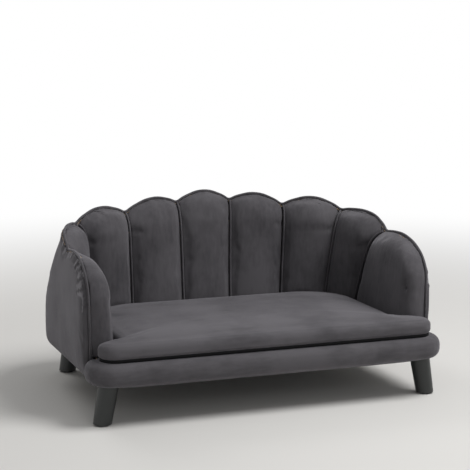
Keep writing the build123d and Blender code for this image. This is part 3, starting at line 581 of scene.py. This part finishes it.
# Petals: nine upright pads of foam and wadding in charcoal velvet, sewn with a crowned face and an
# arched top. Each is stapled to the shell board beside its neighbours, and the two on the arms wrap
# round the arms' fronts.
petal_voxel = 0.005
petal_rounds = 6
petal_pressure = 5
petal_swell = 0.006
petal_pulls = ((0.026, 0.035), (0.012, 0.010))
bead_step = 0.012
seam_reach = 1.5 * bead_step
seam_width = 2 * bead_step
outward_facing = 0.5
side_names = ("left", "right")
back_kinds = ("corner", "back_outer", "back_inner")
back_petals = [f"petal_{kind}_{side}" for kind in back_kinds for side in side_names]
arm_petals = [f"petal_arm_{side}" for side in side_names]
petals = ["petal_centre"] + back_petals + arm_petals
beads = [f"channel_piping_{side}_{i}" for side in side_names for i in (1, 2, 3, 4)]


def meet(piece, bead, reach, fade):
    """Draws the edge of a piece up to a piping bead, as its seam does. The edge is within a reach of the
    bead, and the pull fades out over a distance behind it."""
    places = points_of(piece)
    tree = tree_of(bead)
    found = {}
    for i, place in enumerate(places):
        spot, _, _, distance = tree.find_nearest(Vector(place), reach + fade)
        if spot is not None:
            found[i] = (spot, distance)
    cells = {tuple(int(c // bead_step) for c in spot) for spot, _ in found.values()}
    samples = sorted(cells)
    near = KDTree(len(samples))
    for k, cell in enumerate(samples):
        near.insert([(c + 0.5) * bead_step for c in cell], k)
    near.balance()
    edge = np.full(len(samples), np.inf)
    for spot, distance in found.values():
        for _, k, _ in near.find_range(spot, seam_reach):
            edge[k] = min(edge[k], distance)
    for i, (spot, distance) in found.items():
        weighed = [
            (edge[k], exp(-((off / seam_width) ** 2)))
            for _, k, off in near.find_range(spot, 2 * seam_width) if edge[k] < reach
        ]
        if not weighed or distance <= touch_gap:
            continue
        start = sum(e * w for e, w in weighed) / sum(w for _, w in weighed)
        share = min(1, max(0, 1 - (distance - start) / fade))
        pull = min((start - touch_gap) * share * share * (3 - 2 * share), distance - touch_gap)
        if pull > 0:
            places[i] += (np.array(spot) - places[i]) * (pull / distance)
    set_points(piece, places)


def clear_of(piece, node, gap=touch_gap, skin=0):
    """Moves the points of a piece that lie in a CAD solid out to its surface. Points on the far side
    from the solid stay at least a skin's thickness off it."""
    places, facing = points_of(piece), normals_of(piece)
    reach = max(gap, skin)
    low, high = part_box(node)
    within = np.all((places > np.array(low) - reach) & (places < np.array(high) + reach), axis=1)
    for i in np.nonzero(within)[0]:
        spot, normal, _, _ = tree_of(node).find_nearest(Vector(places[i]))
        depth = (Vector(places[i]) - spot).dot(normal)
        least = max(gap, skin) if normal.dot(Vector(facing[i])) > outward_facing else gap
        if depth < least:
            places[i] = np.array(spot + normal * least)
    set_points(piece, places)


def subdivide(piece):
    """Rounds a piece by subdivision."""
    surface = piece.modifiers.new("surface", "SUBSURF")
    surface.levels = surface.render_levels = 1
    apply_all(piece)


for node in petals:
    pad = form_of(node, node + "_velvet")
    even(pad, petal_voxel, petal_rounds)
    for reach, fade in petal_pulls:
        meet(pad, "rim_piping", reach, fade)
    clear_of(pad, "shell_board")
    others = [name for name in petals + beads if name != node]
    others += ["rim_piping", "shell_board", "shell_lining", "cushion_cover", "base_cover", "outer_cover"]
    puff(pad, petal_pressure, petal_swell, others)
    subdivide(pad)
    dress(pad, velvet_upright, "velvet", node, fill=0.8)

# Piping: velvet sewn over a round cord, laid in each groove between two petals, over the whole
# scalloped rim and down both arm fronts. The rim piping's flange reaches the shell board, and a thin
# velvet binding covers the board's edge.
piping_velvet = velvet("piping_velvet")
finish_cad(piping_velvet, *beads)
flange_facing = 0.35
flange_gap = 0.0002
binding_voxel = 0.004
binding_reach = 0.06
binding_thickness = 0.0003
board = tree_of("shell_board")


def select_faces(piece, chosen):
    """Selects the faces of the active piece for which a test is true, and enters edit mode."""
    bpy.ops.object.mode_set(mode="EDIT")
    bpy.ops.mesh.select_mode(type="FACE")
    bpy.ops.mesh.select_all(action="DESELECT")
    bpy.ops.object.mode_set(mode="OBJECT")
    for face in piece.data.polygons:
        face.select = chosen(face)
    bpy.ops.object.mode_set(mode="EDIT")


def faces_board(face):
    """True for a face of the bead that looks towards the shell board."""
    way = board.find_nearest(face.center)[0] - face.center
    return way.normalized().dot(face.normal) > flange_facing


def lay_on_board(corners):
    """Moves corners of a mesh on to the shell board."""
    for corner in corners:
        spot, normal, _, _ = board.find_nearest(corner.co)
        corner.co = spot + normal * flange_gap


rim_velvet = form_of("rim_piping", "rim_velvet")
select_faces(rim_velvet, faces_board)
bpy.ops.mesh.extrude_region_move(TRANSFORM_OT_translate={"value": (0, 0, 0)})
bpy.ops.object.mode_set(mode="OBJECT")
lay_on_board(corner for corner in rim_velvet.data.vertices if corner.select)
binding = form_of("shell_board", "binding")
even(binding, binding_voxel, 0)
select_faces(binding, lambda face: tree_of("rim_piping").find_nearest(face.center, binding_reach)[0] is None)
bpy.ops.mesh.delete(type="FACE")
bpy.ops.object.mode_set(mode="OBJECT")
lay_on_board(binding.data.vertices)
hem = binding.modifiers.new("hem", "SOLIDIFY")
hem.thickness = binding_thickness
hem.offset = 1
apply_all(binding)
select_only(rim_velvet)
binding.select_set(True)
bpy.ops.object.join()
dress(rim_velvet, piping_velvet, "velvet_piping", "rim_piping")

# Outer cover: velvet over wadding round the outside of the back and the arms. Its upper edge is sewn
# to the rim piping, which draws it in at each notch, and its lower edge is stapled under the base.
cover_voxel = 0.005
cover_rounds = 6
cover_gap = 0.0015
cover_sink = 0.004
cover_skin = 0.002
cover_pressure = 4
cover_swell = 0.004
cover_pulls = ((0.06, 0.09), (0.014, 0.012))
tuck_height = 0.035
tuck_share = 0.85

outer_velvet = form_of("outer_cover", "outer_velvet")
places = points_of(outer_velvet)
for i, place in enumerate(places):
    spot, normal, _, _ = board.find_nearest(Vector(place), cover_gap)
    if spot is not None:
        places[i] = np.array(spot - normal * cover_sink)
set_points(outer_velvet, places)
even(outer_velvet, cover_voxel, cover_rounds)
for reach, fade in cover_pulls:
    meet(outer_velvet, "rim_piping", reach, fade)
clear_of(outer_velvet, "shell_board")
places = points_of(outer_velvet)
hem_low = places[:, 2].min()
hem_drop = hem_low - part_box("outer_cover")[0].z
for i in np.nonzero(places[:, 2] < hem_low + tuck_height)[0]:
    rise = 1 - (places[i][2] - hem_low) / tuck_height
    spot = board.find_nearest(Vector(places[i]))[0]
    pull = (np.array(spot) - places[i]) * (1, 1, 0)
    places[i] += pull * tuck_share * (1 - (1 - rise * rise) ** 0.5)
    places[i][2] -= hem_drop * rise
set_points(outer_velvet, places)
cover_neighbours = ["rim_piping", "shell_board", "base_cover", "dust_cover"]
cover_neighbours += ["leg_rear_left", "leg_rear_right"]
puff(outer_velvet, cover_pressure, cover_swell, cover_neighbours + petals)
clear_of(outer_velvet, "shell_board", skin=cover_skin)
dress(outer_velvet, velvet_upright, "velvet", "outer_cover", fill=0.5)

# Seat cushion: a T-shaped foam core in a crowned velvet cover, open inside and slit along the back for
# its zip. It is sewn to a black non-slip base, whose edge shows as a dark band. The band's near-black
# colour is partly the fabric's own black and partly painted shade of the gap between cushion and base.
cushion_voxel = 0.008
cushion_rounds = 6
cushion_pressure = 5
cushion_swell = 0.007
cover_over_foam = 0.005
foam_gap = 0.0005
slot_gap = 0.0003
slot_in, slot_out = 0.01, 0.03
ray_lift = 0.0002
# Near-black band colour: black fabric, darkened further as painted shade of the gap under the cushion.
band_black_and_painted_shade = (0.0035, 0.0035, 0.004)
band_shade = 2.2
band_weave_spacing = 900
band_bump = (0.0003, 0.5)
band_rough, band_gloss = 0.85, 0.15

black_base_and_painted_shade, tree, shader, place = new_material("black_base_fabric")
weave = put(tree, "ShaderNodeTexVoronoi", Vector=place, Scale=band_weave_spacing).outputs["Distance"]
tree.links.new(
    tones(tree, weave, shades(band_black_and_painted_shade, band_shade)[::-1], (0, 1)), shader.inputs["Base Color"]
)
tree.links.new(raise_by(tree, weave, *band_bump), shader.inputs["Normal"])
shader.inputs["Roughness"].default_value = band_rough
shader.inputs["Specular IOR Level"].default_value = band_gloss
cushion_band = form_of("cushion_base", "cushion_band")
dress(cushion_band, black_base_and_painted_shade, "black_base_fabric", "cushion_base", fill=0.5)
cushion_core = form_of("cushion_foam", "cushion_core")
dress(cushion_core, foam, "foam", "cushion_foam", fill=0.9)


def outside_only(piece):
    """Keeps the outer faces of a hollow piece and closes the holes in them."""
    mesh = bmesh.new()
    mesh.from_mesh(piece.data)
    tree = BVHTree.FromBMesh(mesh)
    inner = []
    for face in mesh.faces:
        start = face.calc_center_median() + face.normal * ray_lift
        if tree.ray_cast(start, face.normal)[0] is not None:
            inner.append(face)
    bmesh.ops.delete(mesh, geom=inner, context="FACES")
    bmesh.ops.holes_fill(mesh, edges=[edge for edge in mesh.edges if edge.is_boundary], sides=0)
    bmesh.ops.recalc_face_normals(mesh, faces=mesh.faces[:])
    mesh.to_mesh(piece.data)
    mesh.free()


zip_low, zip_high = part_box("cushion_zip")
seat_velvet = form_of("cushion_cover", "seat_velvet")
outside_only(seat_velvet)
even(seat_velvet, cushion_voxel, cushion_rounds)
seat_neighbours = ["cushion_base", "cushion_zip", "zip_slider", "zip_pull", "base_cover"]
puff(seat_velvet, cushion_pressure, cushion_swell, seat_neighbours + petals)
clear_of(seat_velvet, "cushion_foam", cover_over_foam)
subdivide(seat_velvet)
clear_of(seat_velvet, "cushion_foam", cover_over_foam)
hollow = form_of("cushion_foam", "hollow")
growth = hollow.modifiers.new("growth", "DISPLACE")
growth.strength = foam_gap
growth.mid_level = 0
apply_all(hollow)
combine(seat_velvet, hollow, "DIFFERENCE")
slot_low = zip_low - Vector((slot_gap, slot_in, slot_gap))
slot_high = zip_high + Vector((slot_gap, slot_out, slot_gap))
combine(seat_velvet, block(slot_low, slot_high), "DIFFERENCE")
dress(seat_velvet, velvet_flat, "velvet", "cushion_cover", fill=0.8)

# Zip: a black woven tape with two rows of moulded teeth that mesh, sewn into the slit at the back of
# the cushion. Its slider and pull are cast metal, plated dark grey and a little worn.
zip_black = (0.006, 0.006, 0.007)
zip_shade = 2.5
tape_thread_spacing = 1400
tape_bump = (0.0002, 0.5)
tape_stretch = (1, 1, 0.3)
tape_rough = 0.6
tooth_size = Vector((0.0013, 0.0006, 0.0026))
tooth_pitch = 0.0026
gunmetal = (0.20, 0.20, 0.21)
gunmetal_shade = 0.6
wear_spacing = 500
gunmetal_rough = (0.28, 0.45)

zip_tape, tree, shader, place = new_material("zip_tape")
threads = pattern(tree, place, tape_thread_spacing, 2, tape_stretch)
tree.links.new(tones(tree, threads, shades(zip_black, zip_shade)[::-1]), shader.inputs["Base Color"])
tree.links.new(raise_by(tree, threads, *tape_bump), shader.inputs["Normal"])
shader.inputs["Roughness"].default_value = tape_rough
zip_middle = (zip_low.z + zip_high.z) / 2
coil = block(zip_low, zip_high - Vector((0, tooth_size.y, 0)), "zip_coil")
for side in (-1, 1):
    centre = Vector((
        zip_low.x + tooth_pitch * (1 + side / 4),
        zip_high.y - tooth_size.y / 2,
        zip_middle + side * tooth_size.z / 3,
    ))
    tooth = block(centre - tooth_size / 2, centre + tooth_size / 2, "tooth")
    row = tooth.modifiers.new("row", "ARRAY")
    row.use_relative_offset = False
    row.use_constant_offset = True
    row.constant_offset_displace = (tooth_pitch, 0, 0)
    row.count = int((zip_high.x - zip_low.x) / tooth_pitch) - 1
    apply_all(tooth)
    select_only(coil)
    tooth.select_set(True)
    bpy.ops.object.join()
dress(coil, zip_tape, "zip_tape", "cushion_zip")
bpy.ops.object.shade_flat()

dark_metal, tree, shader, place = new_material("dark_metal")
wear = pattern(tree, place, wear_spacing, 3)
tree.links.new(tones(tree, wear, shades(gunmetal, gunmetal_shade)), shader.inputs["Base Color"])
polish = put(tree, "ShaderNodeMapRange", i0=wear, i3=gunmetal_rough[0], i4=gunmetal_rough[1]).outputs[0]
tree.links.new(polish, shader.inputs["Roughness"])
shader.inputs["Metallic"].default_value = 1
finish_cad(dark_metal, "zip_slider", "zip_pull")
